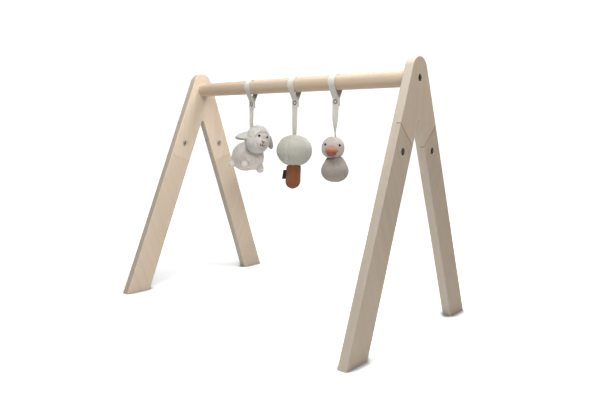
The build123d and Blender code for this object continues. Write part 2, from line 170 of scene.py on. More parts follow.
# ---- Materials -------------------------------------------------------------------------
class Look:
    """A material in the making: its nodes and its shader."""

    def __init__(self, name):
        self.material = bpy.data.materials.new(name)
        self.material.use_nodes = True
        self.tree = self.material.node_tree
        self.shader = self.tree.nodes["Principled BSDF"]

    def feed(self, value, socket):
        """Link a socket to an output, or set it to a number or a colour."""
        if isinstance(value, bpy.types.NodeSocket):
            self.tree.links.new(value, socket)
        elif isinstance(value, tuple):
            socket.default_value = (*value, 1)
        else:
            socket.default_value = value

    def node(self, kind, **values):
        """A new node. Values are input names, with spaces as underscores, and numbers or outputs."""
        made = self.tree.nodes.new("ShaderNode" + kind)
        for name, value in values.items():
            self.feed(value, made.inputs[name.replace("_", " ")])
        return made

    def set(self, **values):
        """Inputs of the shader."""
        for name, value in values.items():
            self.feed(value, self.shader.inputs[name.replace("_", " ")])

    def maths(self, operation, a, b=0.0):
        made = self.node("Math")
        made.operation = operation
        self.feed(a, made.inputs[0])
        self.feed(b, made.inputs[1])
        return made.outputs[0]

    def times(self, a, b):
        return self.maths("MULTIPLY", a, b)

    def wave(self, turns):
        return self.maths("SINE", self.times(turns, 2 * math.pi))

    def mix(self, share, dark, light):
        made = self.node("Mix")
        made.data_type = "RGBA"
        for number, value in ((0, share), (6, dark), (7, light)):
            self.feed(value, made.inputs[number])
        return made.outputs[2]

    def stretched(self, scale, turn=(0, 0, 0), shift=(0, 0, 0)):
        """Object coordinates, turned and then scaled, for a texture."""
        where = self.node("TexCoord").outputs["Object"]
        turned = self.node("Mapping", Vector=where)
        turned.inputs["Rotation"].default_value = turn
        turned.inputs["Location"].default_value = shift
        scaled = self.node("Mapping", Vector=turned.outputs[0])
        scaled.inputs["Scale"].default_value = scale
        return scaled.outputs[0]

    def noise(self, vector, detail=3.0, roughness=0.55):
        return self.node("TexNoise", Vector=vector, Scale=1.0, Detail=detail, Roughness=roughness).outputs[0]

    def even_noise(self, fineness, *details):
        """Noise that is alike in all directions."""
        return self.noise(self.stretched((fineness,) * 3), *details)

    def apart(self, kind):
        """X, Y and Z of the Object or Normal coordinates."""
        return self.node("SeparateXYZ", Vector=self.node("TexCoord").outputs[kind]).outputs

    def weave_place(self):
        """The across and along of woven pieces, in metres."""
        out = []
        for name in ("across", "along"):
            made = self.node("Attribute")
            made.attribute_name = name
            out.append(made.outputs["Fac"])
        return out

    def ramp(self, value, low, high, to_low=0.0, to_high=1.0):
        made = self.node("MapRange", Value=value, From_Min=low, From_Max=high, To_Min=to_low, To_Max=to_high)
        made.interpolation_type = "SMOOTHSTEP"
        return made.outputs[0]

    def bump(self, height, distance, strength=1.0, under=None):
        made = self.node("Bump", Height=height, Strength=strength, Distance=distance)
        if under is not None:
            self.feed(under, made.inputs["Normal"])
        self.set(Normal=made.outputs[0])
        return made.outputs[0]


def toned(colour, share):
    """A colour made darker or lighter."""
    return tuple(min(1.0, c * share) for c in colour)


# ---- Wood and metal --------------------------------------------------------------------
WOOD_PALE = (0.68, 0.56, 0.435)
WOOD_DEEP = (0.615, 0.495, 0.375)
WOOD_EDGE = (0.60, 0.545, 0.45)
BAR_PALE = (0.69, 0.55, 0.415)
BAR_DEEP = (0.62, 0.475, 0.345)
# per-board scale of the wood's colour: painted light on the left boards, painted shade on the right ones
BOARD_LIGHT_AND_SHADE = {"head_left": 1.12, "front_left": 1.05, "front_right": 0.88, "back_right": 0.88}
LEAN = 20.3  # of each leg from the upright, degrees
# colour of the painted shade along the joint of leg and head board
LAP_SHADE_COLOUR = (0.20, 0.145, 0.10)
LAP_Z = 0.3326  # where the two lap lines on an A-frame's outer face would meet
LAP_SLOPE = 44.2  # their rise outwards, degrees
LAP_X = 0.3115  # middle of the boards' thickness


def painted_lap_shade(look):
    """Painted shade along the joint of leg and head board on the outer half of an A-frame: 1 on the joint, 0
    away from it.
    """
    x, y, z = look.apart("Object")
    slope = math.radians(LAP_SLOPE)
    rise = look.times(look.maths("ABSOLUTE", y), math.tan(slope))
    above = look.maths("SUBTRACT", look.maths("SUBTRACT", z, LAP_Z), rise)
    away = look.times(look.maths("ABSOLUTE", above), math.cos(slope))
    outer = look.ramp(look.maths("ABSOLUTE", x), LAP_X - 0.1 * MM, LAP_X + 0.1 * MM)
    return look.times(look.ramp(away, 1.3 * MM, 0.5 * MM), outer)


def wood(name, lean, shift, pale, deep):
    """Fine-grained pale hardwood. The grain runs along Z turned by lean about X. Also gives
    the last colour, for more to be laid over it."""
    look = Look(name)
    turn = (math.radians(lean), 0, 0)

    def grain(scale, *details):
        return look.noise(look.stretched(scale, turn, shift), *details)

    drift = grain((9, 9, 2.2), 2.0)
    flow = grain((95, 95, 2.4), 4.0, 0.6)
    fibre = grain((1400, 1400, 20), 3.0, 0.6)
    pores = grain((800, 800, 110), 1.0)
    fleck = look.ramp(pores, 0.66, 0.76)
    tone = look.mix(look.ramp(flow, 0.36, 0.66, 0.0, 0.75), pale, deep)
    tone = look.mix(look.ramp(drift, 0.35, 0.7, 0.0, 0.5), tone, deep)
    tone = look.mix(look.ramp(fibre, 0.3, 0.75, 0.0, 0.3), tone, toned(deep, 0.86))
    tone = look.mix(look.times(fleck, 0.35), tone, toned(deep, 0.62))
    gloss = look.ramp(fibre, 0.2, 0.8, 0.46, 0.62)
    look.set(Base_Color=tone, Roughness=gloss, Specular_IOR_Level=0.35)
    height = look.maths("SUBTRACT", fibre, look.times(fleck, 0.8))
    look.bump(height, 0.00008, 0.6)
    return look, tone


def board_wood(place, lean, shift):
    """One board's wood, greyer on its sawn edges, with painted shade along its joint, and its tone scaled per
    board as painted light and shade.
    """
    share = BOARD_LIGHT_AND_SHADE.get(place, 1.0)
    pale, deep = toned(WOOD_PALE, share), toned(WOOD_DEEP, share)
    look, tone = wood(f"beech_{place}", lean, shift, pale, deep)
    facing = look.maths("ABSOLUTE", look.apart("Normal")[0])
    edge = look.ramp(facing, 0.9, 0.4)
    tone = look.mix(look.times(edge, 0.6), tone, WOOD_EDGE)
    # painted shade along the joint
    tone = look.mix(look.times(painted_lap_shade(look), 0.7), tone, LAP_SHADE_COLOUR)
    look.set(Base_Color=tone)
    return look.material


def finish_wood():
    for number, side in enumerate(("left", "right")):
        shift = (0.03 + 0.4 * number, 0.021, 0.1)
        give(f"head_board_{side}", board_wood(f"head_{side}", 4.0, shift))
        for turn, end in ((-LEAN, "front"), (LEAN, "back")):
            shift = (0.05 + 0.3 * number, 0.03 if turn > 0 else -0.02, 0.2 * number)
            give(f"leg_{end}_{side}", board_wood(f"{end}_{side}", turn, shift))
    give("crossbar", bar_wood())


def bar_wood():
    """The same wood with its grain along X."""
    look = wood("beech_bar", 0.0, (0, 0, 0), BAR_PALE, BAR_DEEP)[0]
    for made in look.tree.nodes:
        if made.type == "MAPPING" and made.inputs["Vector"].links[0].from_node.type == "TEX_COORD":
            made.inputs["Rotation"].default_value = (0, math.radians(90), 0)
            made.inputs["Location"].default_value = (0.47, 0.012, 0.0)
    return look.material


def metal(name, colour, roughness):
    look = Look(name)
    spots = look.even_noise(2500, 3.0)
    cloud = look.even_noise(180, 2.0)
    tone = look.mix(cloud, toned(colour, 0.8), colour)
    gloss = look.ramp(spots, 0.3, 0.7, roughness * 0.8, roughness * 1.25)
    look.set(Metallic=1.0, Base_Color=tone, Roughness=gloss)
    look.bump(spots, 0.00002, 0.5)
    return look.material


def give(node_name, material):
    """Put a material on a CAD node in place of its plain one."""
    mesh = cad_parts[node_name].data
    mesh.materials.clear()
    mesh.materials.append(material)
    for face in mesh.polygons:
        face.material_index = 0


def finish_hardware():
    steel = metal("bolt_steel", (0.40, 0.37, 0.31), 0.4)
    zinc = metal("nut_steel", (0.94, 0.87, 0.75), 0.55)
    brass = metal("insert_brass", (0.72, 0.55, 0.28), 0.35)
    nickel = metal("snap_nickel", (0.92, 0.90, 0.85), 0.5)
    for name in ("leg_bolts", "bar_bolts"):
        give(name, steel)
    give("leg_nuts", zinc)
    give("bar_inserts", brass)
    for toy in TOYS:
        for part in ("snap_ring", "snap_stud", "snap_socket", "snap_rear_ring"):
            give(f"{toy}_{part}", nickel)


# ---- Soft forms ------------------------------------------------------------------------
def new_piece(name, verts, faces, material):
    mesh = bpy.data.meshes.new(name)
    mesh.from_pydata([tuple(v) for v in verts], [], faces)
    mesh.update()
    mesh.materials.append(material)
    piece = bpy.data.objects.new(name, mesh)
    scene.collection.objects.link(piece)
    mesh.shade_smooth()
    return piece


def points(piece):
    co = np.empty(len(piece.data.vertices) * 3)
    piece.data.vertices.foreach_get("co", co)
    return co.reshape(-1, 3)


def set_points(piece, co):
    piece.data.vertices.foreach_set("co", co.ravel())
    piece.data.update()


def vertex_normals(piece):
    out = np.empty(len(piece.data.vertices) * 3)
    piece.data.vertex_normals.foreach_get("vector", out)
    return out.reshape(-1, 3)


def push(piece, distance):
    """Move each point along its normal."""
    set_points(piece, points(piece) + vertex_normals(piece) * distance[:, None])


def apply_modifiers(piece):
    graph = bpy.context.evaluated_depsgraph_get()
    made = bpy.data.meshes.new_from_object(piece.evaluated_get(graph))
    piece.modifiers.clear()
    old = piece.data
    piece.data = made
    made.name = piece.name
    bpy.data.meshes.remove(old)
    piece.data.shade_smooth()


def refine(piece, levels=1):
    modifier = piece.modifiers.new("finer", "SUBSURF")
    modifier.levels = levels
    apply_modifiers(piece)


def skin_round(name, blobs, voxel, material, ease=4):
    """One closed skin round several round forms, each a (place, radii, turn) of a unit ball."""
    mesh = bmesh.new()
    for place, radii, turn in blobs:
        made = bmesh.ops.create_uvsphere(mesh, u_segments=64, v_segments=32, radius=1.0)
        shape = Matrix.Translation(place) @ turn.to_4x4() @ Matrix.Diagonal((*radii, 1))
        bmesh.ops.transform(mesh, matrix=shape, verts=made["verts"])
    data = bpy.data.meshes.new(name)
    mesh.to_mesh(data)
    mesh.free()
    piece = bpy.data.objects.new(name, data)
    scene.collection.objects.link(piece)
    data.materials.append(material)
    even_skin(piece, voxel, ease)
    return piece


def ring_walls(rings, sides, outward=True):
    """Four-cornered faces between rings of points, each ring with the same number of sides."""
    faces = []
    for low, high in ((i * sides, (i + 1) * sides) for i in range(rings - 1)):
        for k in range(sides):
            n = (k + 1) % sides
            face = (low + k, low + n, high + n, high + k)
            faces.append(face if outward else (face[0], face[3], face[2], face[1]))
    return faces


def turned_form(name, profile, place, voxel, material, ease=4):
    """One closed skin turned round an upright axis through place, from (radius, z) points."""
    sides = 64
    turns = [2 * math.pi * k / sides for k in range(sides)]
    verts = [(place.x + r * math.cos(a), place.y + r * math.sin(a), z) for r, z in profile for a in turns]
    faces = [tuple(range(sides - 1, -1, -1)), tuple(len(verts) - sides + k for k in range(sides))]
    faces += ring_walls(len(profile), sides)
    piece = new_piece(name, verts, faces, material)
    even_skin(piece, voxel, ease)
    return piece


def even_skin(piece, voxel, ease):
    """Remake a form with small even faces and round off its joints."""
    modifier = piece.modifiers.new("skin", "REMESH")
    modifier.mode = "VOXEL"
    modifier.voxel_size = voxel
    modifier = piece.modifiers.new("ease", "SMOOTH")
    modifier.factor = 0.5
    modifier.iterations = ease
    apply_modifiers(piece)


def fit(piece, node_name):
    """Bring a filled skin back to the size and place of its CAD form."""
    low, high = (np.array(corner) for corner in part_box(node_name))
    co = points(piece)
    least, most = co.min(axis=0), co.max(axis=0)
    set_points(piece, (co - (least + most) / 2) * ((high - low) / (most - least)) + (low + high) / 2)


def stuff(piece, seam, swell=0.05, cap=2.2 * MM):
    """Fill a skin: it is held along its seams and swells between them. seam gives distances."""
    rest = points(piece)
    held = piece.vertex_groups.new(name="held")
    near = np.nonzero(seam(rest) < 2.0 * MM)[0]
    held.add([int(i) for i in near], 1.0, "REPLACE")
    cloth = piece.modifiers.new("filling", "CLOTH").settings
    cloth.vertex_group_mass = "held"
    cloth.use_pressure = True
    cloth.uniform_pressure_force = 30.0
    cloth.mass = 0.005
    cloth.quality = 5
    cloth.bending_stiffness = 0.1
    cloth.shrink_min = -swell
    cloth.effector_weights.gravity = 0.0
    for step in range(1, 21):
        scene.frame_set(step)
    apply_modifiers(piece)
    moved = points(piece) - rest
    length = np.linalg.norm(moved, axis=1)
    share = np.minimum(1.0, cap / np.maximum(length, 1e-9))
    set_points(piece, rest + moved * share[:, None])
    scene.frame_set(1)
    piece.vertex_groups.clear()


LATTICE = np.random.default_rng(11).uniform(-1, 1, (64, 64, 64))


def soft_noise(co, size, octaves=2):
    """Smooth noise from -1 to 1 at each point, with lumps about size across."""
    total = np.zeros(len(co))
    for octave in range(octaves):
        place = co / size * 2.1**octave + 17.3 * octave
        cell = np.floor(place).astype(int)
        part = place - cell
        part = part * part * (3 - 2 * part)
        for corner in ((a, b, c) for a in (0, 1) for b in (0, 1) for c in (0, 1)):
            weight = np.prod(np.where(corner, part, 1 - part), axis=1)
            x, y, z = ((cell + corner) % 64).T
            total += weight * LATTICE[x, y, z] * 0.5**octave
    return total


def press_seam(piece, seam, along, depth=0.9 * MM, width=1.1 * MM, pitch=5.5 * MM):
    """Sink a skin along its seams and pucker the cloth beside them."""
    co = points(piece)
    gap = seam(co)
    groove = -depth * np.exp(-((gap / width) ** 2))
    ruck = 0.28 * MM * np.exp(-gap / (3.2 * MM)) * (1 - np.exp(-gap / (0.8 * MM)))
    pucker = np.sin(along(co) * 2 * math.pi / pitch + 1.7 * np.sin(along(co) * 210.0))
    push(piece, groove + ruck * pucker)


def tube(name, path, radius, material, sides=10):
    """A round thread along a path, thinner at its ends."""
    path = np.array(path, float)
    count = len(path)
    ahead = np.gradient(path, axis=0)
    ahead /= np.linalg.norm(ahead, axis=1)[:, None]
    side = np.cross(ahead, (0.31, 0.52, 0.79))
    side /= np.linalg.norm(side, axis=1)[:, None]
    up = np.cross(side, ahead)
    verts = []
    for i in range(count):
        end = min(i, count - 1 - i)
        r = radius * (0.55 if end == 0 else 0.9 if end == 1 else 1.0)
        for k in range(sides):
            a = 2 * math.pi * k / sides
            verts.append(path[i] + r * (math.cos(a) * side[i] + math.sin(a) * up[i]))
    faces = ring_walls(count, sides)
    faces.append(tuple(range(sides - 1, -1, -1)))
    faces.append(tuple((count - 1) * sides + k for k in range(sides)))
    return new_piece(name, verts, faces, material)


def curve_through(corners, count=24):
    """Evenly spaced points on a smooth curve through a few corners."""
    corners = np.array(corners, float)
    if len(corners) == 2:
        t = np.linspace(0, 1, count)[:, None]
        return corners[0] * (1 - t) + corners[1] * t
    padded = np.vstack([2 * corners[0] - corners[1], corners, 2 * corners[-1] - corners[-2]])
    spans = len(corners) - 1
    out = []
    for value in np.linspace(0, spans, count):
        i = min(int(value), spans - 1)
        t = value - i
        a, b, c, d = padded[i : i + 4]
        bend = (2 * a - 5 * b + 4 * c - d) * t**2
        swing = (3 * b - a - 3 * c + d) * t**3
        out.append(0.5 * (2 * b + (c - a) * t + bend + swing))
    return np.array(out)


def merge(name, parts):
    """Several pieces as one object."""
    mesh = bmesh.new()
    materials = []
    for part in parts:
        start = len(mesh.faces)
        mesh.from_mesh(part.data)
        mesh.faces.ensure_lookup_table()
        if part.data.materials[0] not in materials:
            materials.append(part.data.materials[0])
        index = materials.index(part.data.materials[0])
        for face in mesh.faces[start:]:
            face.material_index = index
            face.smooth = True
    data = bpy.data.meshes.new(name)
    mesh.to_mesh(data)
    mesh.free()
    for material in materials:
        data.materials.append(material)
    for part in parts:
        bpy.data.objects.remove(part)
    piece = bpy.data.objects.new(name, data)
    scene.collection.objects.link(piece)
    return piece


def surface_of(piece):
    co = points(piece)
    return BVHTree.FromPolygons([Vector(p) for p in co], [tuple(f.vertices) for f in piece.data.polygons])


class Frame:
    """A toy's own frame: forward, left and up, from its hanging axis."""

    def __init__(self, toy, forward):
        self.origin = Vector((centre(f"{toy}_snap_ring").x, 0, 0))
        self.forward = Vector((forward.x, forward.y, 0)).normalized()
        self.left = Vector((-self.forward.y, self.forward.x, 0))
        self.turn = Matrix((self.forward, self.left, Vector((0, 0, 1)))).transposed()

    def at(self, forward, left, up):
        return self.origin + self.forward * forward + self.left * left + Vector((0, 0, up))

    def split(self, co):
        """Forward, left and up of many points."""
        away = co - np.array(self.origin)
        return away @ np.array(self.forward), away @ np.array(self.left), away[:, 2]


# ---- Cloth materials -------------------------------------------------------------------
TUFT = 2.2 * MM
TUFT_DEPTH = 0.5 * MM


def cloth_look(name, colour, sheen, roughness):
    look = Look(name)
    tint = tuple(0.5 + 0.5 * c for c in colour)
    look.set(Roughness=roughness, Specular_IOR_Level=0.2)
    look.set(Sheen_Weight=sheen, Sheen_Roughness=0.45, Sheen_Tint=tint)
    return look


def plush(name, colour):
    """Short curly pile: small tufts with painted shade between them, and fine fibres over them with painted
    light on their raised ends.
    """
    look = cloth_look(name, colour, 0.5, 0.95)
    where = look.stretched((1 / TUFT,) * 3)
    bent = look.node("TexNoise", Vector=where, Scale=1.3, Detail=1.0)
    warped = look.node("Mix")
    warped.data_type = "VECTOR"
    warped.inputs[0].default_value = 0.35
    look.feed(where, warped.inputs[4])
    look.feed(bent.outputs["Color"], warped.inputs[5])
    cells = look.node("TexVoronoi", Vector=warped.outputs[1], Scale=1.0)
    cells.feature = "SMOOTH_F1"
    cells.inputs["Smoothness"].default_value = 0.6
    fibre = look.even_noise(3200, 3.0, 0.65)
    cloud = look.even_noise(90, 2.0)
    # painted shade in the hollows between tufts
    gap = look.ramp(cells.outputs[0], 0.25, 0.85)
    tone = look.mix(gap, colour, toned(colour, 0.86))
    tone = look.mix(look.ramp(cloud, 0.35, 0.7, 0.0, 0.5), tone, toned(colour, 0.93))
    lit_fibre_tips = look.ramp(fibre, 0.35, 0.75, 0.0, 0.4)
    tone = look.mix(lit_fibre_tips, tone, toned(colour, 1.1))
    look.set(Base_Color=tone)
    tufts = look.bump(look.maths("SUBTRACT", 1.0, cells.outputs[0]), TUFT_DEPTH, 0.7)
    look.bump(fibre, 0.00016, 0.7, tufts)
    return look.material


def velour(name, colour):
    """Smooth short-napped cloth."""
    look = cloth_look(name, colour, 0.4, 0.9)
    fibre = look.even_noise(2600, 4.0, 0.7)
    cloud = look.even_noise(130, 2.0)
    tone = look.mix(look.ramp(cloud, 0.3, 0.7, 0.0, 0.6), colour, toned(colour, 0.92))
    tone = look.mix(look.ramp(fibre, 0.3, 0.75, 0.0, 0.5), tone, toned(colour, 0.88))
    look.set(Base_Color=tone)
    look.bump(fibre, 0.00018, 0.7)
    return look.material


def jersey(name, colour, axis, column=1.25 * MM, row=1.0 * MM):
    """Knitted cloth round an upright axis: columns of slanting loops, with painted shade in the hollows
    between them and painted light on their ridges.
    """
    look = cloth_look(name, colour, 0.3, 0.88)
    x, y, z = look.apart("Object")
    x = look.maths("SUBTRACT", x, axis.x)
    y = look.maths("SUBTRACT", y, axis.y)
    angle = look.maths("ARCTAN2", y, x)
    radius = half_size("tree_crown_cover").x
    columns = round(2 * math.pi * radius / column)
    u = look.times(angle, columns / (2 * math.pi))
    v = look.maths("DIVIDE", z, row)
    slant = look.maths("PINGPONG", u, 0.5)
    strand = look.wave(look.maths("ADD", v, slant))
    groove = look.ramp(slant, 0.0, 0.16)
    ridge = look.ramp(slant, 0.5, 0.36)
    loop = look.ramp(strand, -1, 1, 0.45, 1)
    height = look.times(look.times(groove, ridge), loop)
    cloud = look.even_noise(110, 2.0)
    fibre = look.even_noise(4200, 2.0, 0.6)
    # painted shade in the hollows of the knit, painted light on its ridges
    tone = look.mix(height, toned(colour, 0.8), toned(colour, 1.05))
    tone = look.mix(look.ramp(cloud, 0.35, 0.7, 0.0, 0.55), tone, toned(colour, 0.9))
    look.set(Base_Color=tone)
    loops = look.bump(height, 0.00022, 0.8)
    look.bump(fibre, 0.00006, 0.6, loops)
    return look.material


def ribbon_weave(name, colour):
    """Twill tape with firm edges."""
    look = cloth_look(name, colour, 0.2, 0.8)
    across, along = look.weave_place()
    u = look.maths("DIVIDE", across, 0.9 * MM)
    v = look.maths("DIVIDE", along, 0.9 * MM)
    twill = look.wave(look.maths("ADD", look.maths("PINGPONG", u, 4.5), v))
    edge = look.ramp(look.maths("ABSOLUTE", across), 7.0 * MM, 7.25 * MM)
    fibre = look.even_noise(3600, 2.0)
    cloud = look.even_noise(120, 2.0)
    # painted shade in the hollows of the twill
    tone = look.mix(look.ramp(twill, -1, 1), toned(colour, 0.86), colour)
    tone = look.mix(look.times(edge, 0.5), tone, toned(colour, 0.8))
    tone = look.mix(look.ramp(cloud, 0.3, 0.7, 0.0, 0.5), tone, toned(colour, 0.94))
    look.set(Base_Color=tone)
    weave = look.bump(twill, 0.00010, 0.6)
    look.bump(fibre, 0.00005, 0.5, weave)
    return look.material


def label_satin(name, colour):
    """Fine satin weave for the label."""
    look = cloth_look(name, colour, 0.1, 0.55)
    across, along = look.weave_place()
    u = look.maths("SINE", look.times(across, 2 * math.pi / (0.6 * MM)))
    v = look.maths("SINE", look.times(along, 2 * math.pi / (0.6 * MM)))
    weave = look.times(u, v)
    # painted highlight on the crests of the weave and painted shade between them
    tone = look.mix(look.ramp(weave, -1, 1), toned(colour, 0.5), toned(colour, 1.6))
    look.set(Base_Color=tone)
    look.bump(weave, 0.00008, 0.6)
    return look.material


def thread(name, colour, sheen=0.2, roughness=0.5):
    """Stranded embroidery thread."""
    look = cloth_look(name, colour, sheen, roughness)
    strands = look.noise(look.stretched((5200, 5200, 1300)), 2.0)
    # painted shade between the strands
    tone = look.mix(look.ramp(strands, 0.3, 0.7), toned(colour, 0.7), colour)
    look.set(Base_Color=tone)
    look.bump(strands, 0.00010, 0.8)
    return look.material


# ---- Ribbons and snaps -----------------------------------------------------------------
RIBBON = (0.78, 0.755, 0.67)
RIBBON_T = 1.0 * MM
SNAP_BEND = 3.5 * MM  # half the stretch of ribbon that turns round the snap
FLEX_END = 11.0 * MM  # ribbon that bends under it as the toy swings
STRAIGHT = 8.0 * MM


def mark_weave(piece, across, along):
    """Give each point its place in the woven cloth."""
    for attribute, values in (("across", across), ("along", along)):
        piece.data.attributes.new(attribute, "FLOAT", "POINT").data.foreach_set("value", values)


def band(name, path, side, width, material, bow=0.0, start=0.0):
    """A flat ribbon along a path. side is its width direction, bow how much it cups, per point."""
    path = np.array(path, float)
    count = len(path)
    side = np.broadcast_to(np.array(side, float), path.shape)
    width = np.broadcast_to(width, count)
    bow = np.broadcast_to(bow, count)
    ahead = np.gradient(path, axis=0)
    ahead /= np.linalg.norm(ahead, axis=1)[:, None]
    face = np.cross(side, ahead)
    face /= np.linalg.norm(face, axis=1)[:, None]
    along = start + np.concatenate([[0], np.cumsum(np.linalg.norm(np.diff(path, axis=0), axis=1))])
    spread = np.sin(np.linspace(-1, 1, 15) * math.pi / 2)
    ring = [(s, 1) for s in spread] + [(s, -1) for s in spread[::-1]]
    verts, across, lengthwise = [], [], []
    for i in range(count):
        for s, top in ring:
            thick = RIBBON_T / 2 * (1 - 0.45 * abs(s) ** 10)
            lift = bow[i] * (1 - s * s) + top * thick
            verts.append(path[i] + side[i] * (s * width[i] / 2) + face[i] * lift)
            across.append(s * 8 * MM)
            lengthwise.append(along[i])
    n = len(ring)
    faces = [tuple(range(n)), tuple((count - 1) * n + k for k in range(n - 1, -1, -1))]
    faces += ring_walls(count, n, outward=False)
    piece = new_piece(name, verts, faces, material)
    mark_weave(piece, across, lengthwise)
    return piece


def lathe_y(name, profile, place, material, sides=64):
    """A form turned round an axis along Y, from (radius, y) points."""
    verts = []
    for r, y in profile:
        for k in range(sides):
            a = 2 * math.pi * k / sides
            verts.append((place.x + r * math.cos(a), place.y + y, place.z + r * math.sin(a)))
    return new_piece(name, verts, ring_walls(len(profile), sides), material)


def smooth_path(corners, step=0.5 * MM, ease=14):
    """Even steps along straight runs, with the corners eased."""
    corners = np.array(corners, float)
    out = [corners[0]]
    for a, b in zip(corners[:-1], corners[1:]):
        count = max(1, round(np.linalg.norm(b - a) / step))
        out += [a + (b - a) * k / count for k in range(1, count + 1)]
    path = np.array(out)
    for _ in range(ease):
        path[1:-1] = 0.5 * path[1:-1] + 0.25 * (path[:-2] + path[2:])
    return path


def hang_ribbon(toy, top, sewn_turn, slim, narrow, cloth, ring_metal):
    """The ribbon of one toy: over the bar, round the snap, down and twisting into its seam. It cups to
    slim of its width below the snap and gathers by narrow at the seam."""
    snap = centre(f"{toy}_snap_ring")
    bar = centre("crossbar")
    x = snap.x
    width = half_size(f"{toy}_ribbon_loop").x * 2
    loop_low, loop_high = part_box(f"{toy}_ribbon_loop")
    reach = loop_high.z - bar.z - half_size(f"{toy}_ribbon_drop").y
    back_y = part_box(f"{toy}_snap_rear_ring")[0].y
    turns = np.radians(np.linspace(-25, 208, 80))
    over = [(x, -reach * math.cos(a), bar.z + reach * math.sin(a)) for a in turns]
    front = [(x, 0, snap.z + SNAP_BEND), (x, 0, snap.z + 7 * MM)]
    tail = [(x, back_y, snap.z + 5 * MM), (x, back_y, snap.z - 3 * MM), (x, back_y + 1.2 * MM, loop_low.z)]
    right = (1, 0, 0)
    loop = band(f"{toy}_ribbon_over_bar", smooth_path([*front, *over, *tail]), right, width, cloth)
    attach(loop, f"{toy}_loop")
    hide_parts(f"{toy}_ribbon_loop")

    low_snap = snap.z - SNAP_BEND
    turn_path = [(x, 0, z) for z in np.linspace(snap.z + SNAP_BEND, low_snap, 15)]
    turn = band(f"{toy}_ribbon_at_snap", turn_path, right, width, cloth, start=0.2)
    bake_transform(turn)

    low_flex = low_snap - FLEX_END
    flex_path = [(x, 0, z) for z in np.linspace(low_snap, low_flex - STRAIGHT, 40)]
    eased = np.linspace(0, 1, 40) ** 2 * (3 - 2 * np.linspace(0, 1, 40))
    cupped = 9.0 * MM * (1 - slim)
    wide = width * (1 - (1 - slim) * eased)
    flex = band(f"{toy}_ribbon_under_snap", flex_path, right, wide, cloth, cupped * eased, 0.3)
    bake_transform(flex)
    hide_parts(f"{toy}_ribbon_drop")

    drop_top = low_flex - STRAIGHT
    z = np.linspace(drop_top, top - 5 * MM, 90)
    share = (drop_top - z) / (drop_top - top)
    ease = np.clip((share - 0.1) / 0.9, 0, 1)
    ease = ease * ease * (3 - 2 * ease)
    angle = math.radians(sewn_turn) * ease
    side = np.stack([np.cos(angle), np.sin(angle), np.zeros(len(z))], axis=1)
    gather = np.clip((share - 0.55) / 0.45, 0, 1) ** 2
    path = np.stack([np.full(len(z), x), np.zeros(len(z)), z], axis=1)
    bow = cupped + 6.6 * MM * narrow * gather
    wide = width * slim * (1 - narrow * gather)
    drop = band(f"{toy}_ribbon_to_toy", path, side, wide, cloth, bow, 0.4)
    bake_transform(drop)
    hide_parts(f"{toy}_ribbon_end")

    r = half_size(f"{toy}_snap_ring").x
    face_y = -RIBBON_T / 2
    arc = [math.radians(a) for a in range(0, 181, 15)]
    rim = [(r * 0.8 + r * 0.2 * math.cos(a), face_y - 0.95 * MM * math.sin(a)) for a in arc]
    ring = lathe_y(f"{toy}_snap_face", [*rim, (r * 0.56, face_y)], Vector((x, 0, snap.z)), ring_metal)
    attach(ring, f"{toy}_snap")
    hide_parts(f"{toy}_snap_ring")


# ---- Toys ------------------------------------------------------------------------------
def patch(name, surface, middle, looks, up, outline, rings, lift, material):
    """A cloth panel laid on a surface: a round grid, dropped on it along looks."""
    side = Vector(up).cross(looks).normalized()
    up = Vector(looks).cross(side).normalized()
    count = len(outline)
    verts, faces = [], []
    hit = surface.ray_cast(middle + looks * 0.1, -looks)
    verts.append(hit[0] + hit[1] * lift(0.0))
    for i in range(1, rings + 1):
        share = i / rings
        for a, b in outline:
            aim = middle + side * (a * share) + up * (b * share) + looks * 0.1
            hit = surface.ray_cast(aim, -looks)
            verts.append(hit[0] + hit[1] * lift(share))
    for k in range(count):
        faces.append((0, 1 + k, 1 + (k + 1) % count))
    for i in range(rings - 1):
        for k in range(count):
            n = (k + 1) % count
            a, b = 1 + i * count, 1 + (i + 1) * count
            faces.append((a + k, b + k, b + n, a + n))
    return new_piece(name, verts, faces, material)


def oval(wide, high, count):
    turns = [2 * math.pi * k / count for k in range(count)]
    return [(wide * math.cos(a), high * math.sin(a)) for a in turns]


def on_surface(surface, place, looks, lift):
    hit = surface.ray_cast(place + looks * 0.1, -looks)
    return hit[0] + hit[1] * lift


def satin_eye(name, surface, place, looks, radius, material):
    """A stitched disc, high in the middle and tucked in at its edge."""

    def lift(share):
        return 1.0 * MM * (1 - share**4) ** 0.5 - 0.5 * MM * share**6

    return patch(name, surface, place, looks, (0, 0, 1), oval(radius, radius, 32), 8, lift, material)


